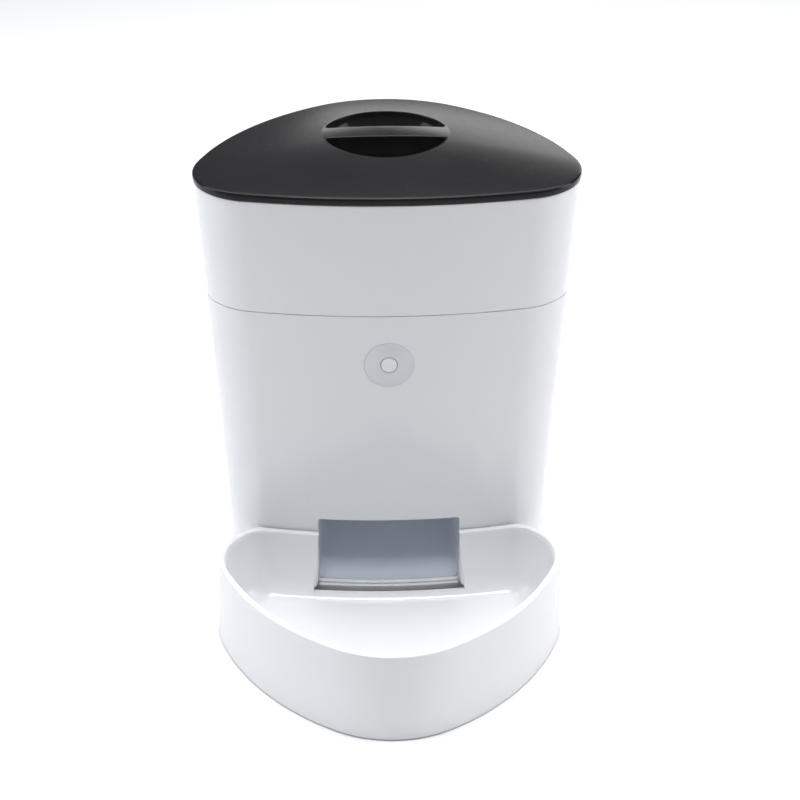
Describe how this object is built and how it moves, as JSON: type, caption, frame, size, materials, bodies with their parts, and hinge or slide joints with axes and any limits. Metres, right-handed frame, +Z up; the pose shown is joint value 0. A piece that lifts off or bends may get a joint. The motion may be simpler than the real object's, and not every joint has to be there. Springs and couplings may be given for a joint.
{
  "type": "automatic pet feeder",
  "caption": "Tapered automatic pet feeder with a lift-out food tank, domed lid with a sunk grip, front button, portion wheel and chute, and a pull-off bowl at its foot.",
  "frame": {"origin": "middle of the whole footprint, on the floor", "axes": "+Z up; -Y is the front, where the bowl is; +X is on the right of a viewer who faces the front"},
  "size_m": [0.2322, 0.2905, 0.2982],
  "materials": {
    "white_shell": "glossy white moulding",
    "white_bowl": "glossy white moulding",
    "black_lid": "satin black moulding",
    "grey_disc": "polished translucent grey",
    "button_white": "polished",
    "chute_grey": "smooth, matt",
    "grey_plastic": "moulded",
    "silicone": "matt silicone",
    "rubber": "matt",
    "steel": "plated",
    "gear_nylon": "moulded nylon",
    "black_plastic": "moulded",
    "circuit_board": "solder mask",
    "cell_wrap": "plastic sleeve",
    "light_lens": "diffused lens",
    "bag_paper": "porous paper"
  },
  "bodies": {
    "housing": {"base_housing": "white_shell", "bottom_cover": "white_shell", "rubber_feet": "rubber", "cover_screws": "steel", "backup_cells": "cell_wrap", "battery_contacts": "steel", "chute": "chute_grey", "food_sensors": "black_plastic", "drive_deck": "white_shell", "deck_screws": "steel", "gearbox_case": "grey_plastic", "gearbox_cover": "grey_plastic", "gearbox_screws": "steel", "idler_pins": "steel", "motor": "steel", "main_board": "circuit_board", "radio_module": "steel", "board_parts": "black_plastic", "board_screws": "steel", "power_inlet": "black_plastic", "button_bezel": "grey_disc", "button_board": "circuit_board", "button_switch": "black_plastic", "status_light": "light_lens"},
    "battery_door": {"battery_door": "white_shell", "door_screw": "steel"},
    "motor_pinion": {"motor_pinion": "gear_nylon"},
    "first_idler": {"first_idler_gear": "gear_nylon"},
    "second_idler": {"second_idler_gear": "gear_nylon"},
    "output_drive": {"output_gear": "gear_nylon", "drive_coupling": "black_plastic"},
    "feed_button": {"feed_button": "button_white"},
    "food_tank": {"tank": "white_shell", "chamber_floor": "white_shell", "floor_screws": "steel", "outlet_shield": "white_shell"},
    "food_wheel": {"wheel_hub": "grey_plastic", "wheel_vanes": "silicone", "stirrer": "grey_plastic", "wheel_screw": "steel"},
    "lid": {"lid": "black_lid", "lid_seal": "silicone", "desiccant_box": "white_shell", "desiccant_bag": "bag_paper"},
    "desiccant_cover": {"desiccant_cover": "grey_plastic"},
    "bowl": {"bowl": "white_bowl", "bowl_pads": "rubber"}
  },
  "joints": [
    {"name": "lid_lift", "type": "slide", "parent": "food_tank", "child": "lid", "axis": [0, 0, 1], "range_m": [0, 0.15]},
    {"name": "tank_lift", "type": "slide", "parent": "housing", "child": "food_tank", "axis": [0, 0, 1], "range_m": [0, 0.18]},
    {"name": "bowl_pull", "type": "slide", "parent": "housing", "child": "bowl", "axis": [0, -1, 0], "range_m": [0, 0.15]},
    {"name": "button_press", "type": "slide", "parent": "housing", "child": "feed_button", "axis": [0, 0.9997, 0.0238], "range_m": [0, 0.001], "stiffness_N_per_m": 1500},
    {"name": "battery_door_lift", "type": "slide", "parent": "housing", "child": "battery_door", "axis": [0, 0, -1], "range_m": [0, 0.05]},
    {"name": "desiccant_cover_unclip", "type": "slide", "parent": "lid", "child": "desiccant_cover", "axis": [0, 0, -1], "range_m": [0, 0.03]},
    {"name": "wheel_spin", "type": "hinge", "parent": "food_tank", "child": "food_wheel", "pos_m": [0, 0.0702, 0.12], "axis": [0, 0, 1], "continuous": true},
    {"name": "output_spin", "type": "hinge", "parent": "housing", "child": "output_drive", "pos_m": [0, 0.0702, 0.08], "axis": [0, 0, 1], "continuous": true},
    {"name": "second_idler_spin", "type": "hinge", "parent": "housing", "child": "second_idler", "pos_m": [0.02853, 0.07947, 0.06], "axis": [0, 0, 1], "continuous": true},
    {"name": "first_idler_spin", "type": "hinge", "parent": "housing", "child": "first_idler", "pos_m": [0.05201, 0.07448, 0.065], "axis": [0, 0, 1], "continuous": true},
    {"name": "pinion_spin", "type": "hinge", "parent": "housing", "child": "motor_pinion", "pos_m": [0.06743, 0.0561, 0.07], "axis": [0, 0, 1], "continuous": true}
  ],
  "couplings": [
    {"joint": "output_spin", "follows": "wheel_spin", "ratio": 1},
    {"joint": "second_idler_spin", "follows": "wheel_spin", "ratio": -3},
    {"joint": "first_idler_spin", "follows": "wheel_spin", "ratio": 9},
    {"joint": "pinion_spin", "follows": "wheel_spin", "ratio": -27}
  ]
}
